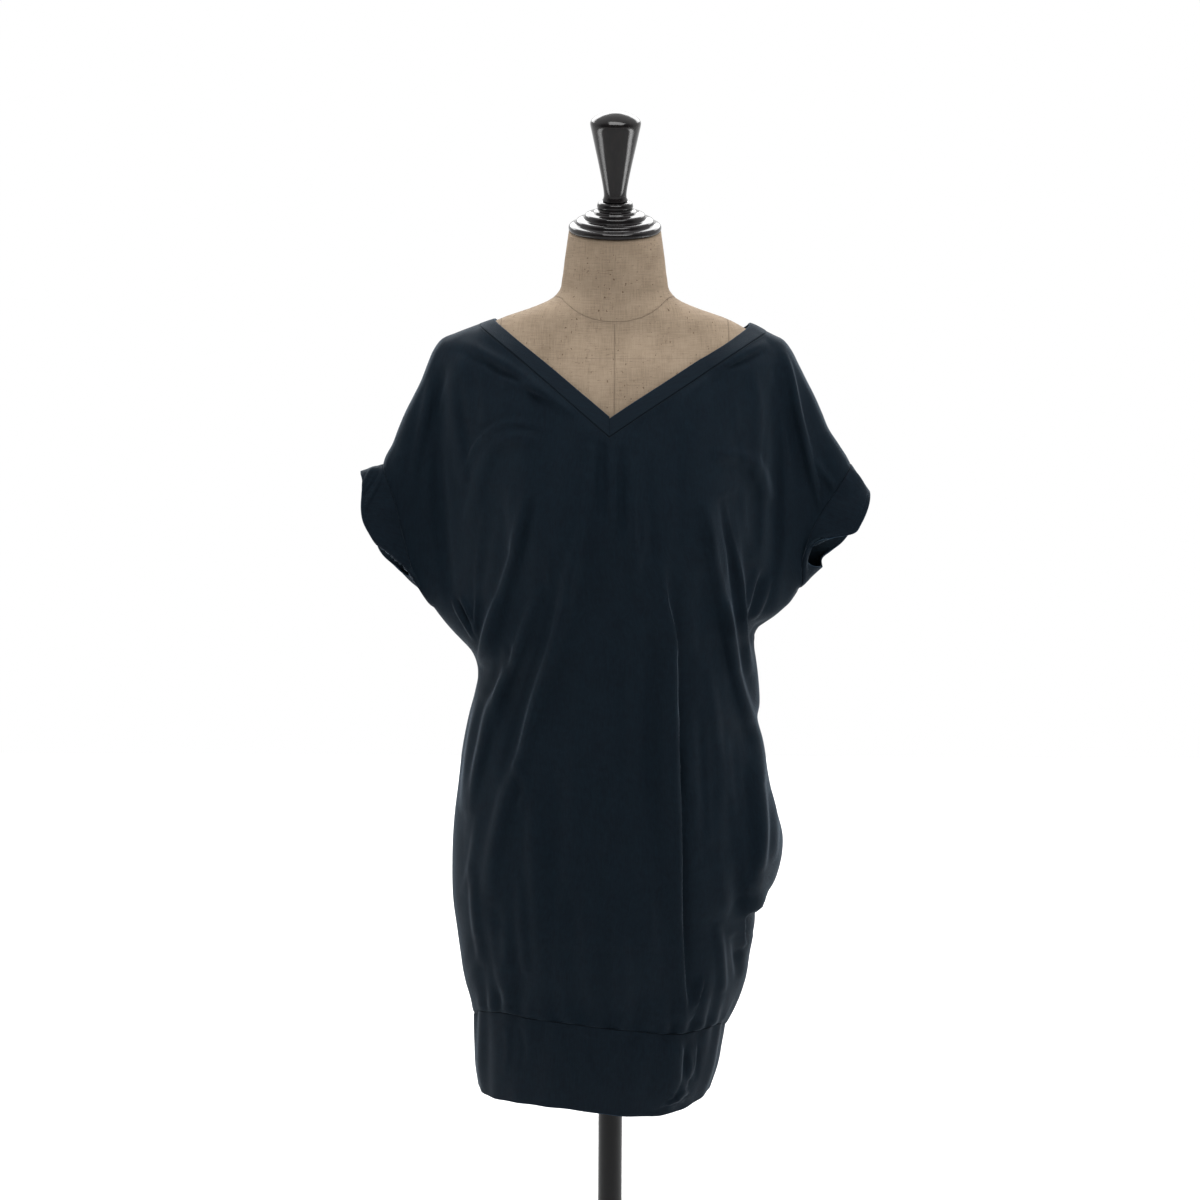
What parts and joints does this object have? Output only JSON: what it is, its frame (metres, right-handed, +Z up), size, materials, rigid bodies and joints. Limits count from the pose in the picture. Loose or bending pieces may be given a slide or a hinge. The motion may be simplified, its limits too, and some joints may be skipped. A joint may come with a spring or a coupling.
{
  "type": "tunic dress on a dress form",
  "caption": "Batwing-sleeved tunic dress with V neckband, cuffs and deep hem band, worn on a limbless linen dress form that stands on a pole and round base.",
  "frame": {"origin": "middle of the base's flat underside, on the floor", "axes": "+Z up, the dress faces -Y, the wearer's left is +X"},
  "size_m": [0.5815, 0.36, 1.6103],
  "materials": {
    "navy_jersey": "fine matte viscose jersey, black-navy, with a soft sheen at grazing angles",
    "natural_linen": "plain-woven natural linen with slubs and brown flecks",
    "lacquered_wood": "turned wood in glossy black-brown lacquer",
    "black_enamel": "satin black enamel on steel"
  },
  "bodies": {
    "root": {"front_panel": "navy_jersey", "back_panel": "navy_jersey", "neckband": "navy_jersey", "cuff_right": "navy_jersey", "cuff_left": "navy_jersey", "hem_band": "navy_jersey", "form_torso": "natural_linen", "neck_cap": "lacquered_wood", "finial": "lacquered_wood", "pole": "black_enamel", "stand_base": "black_enamel"}
  },
  "joints": []
}
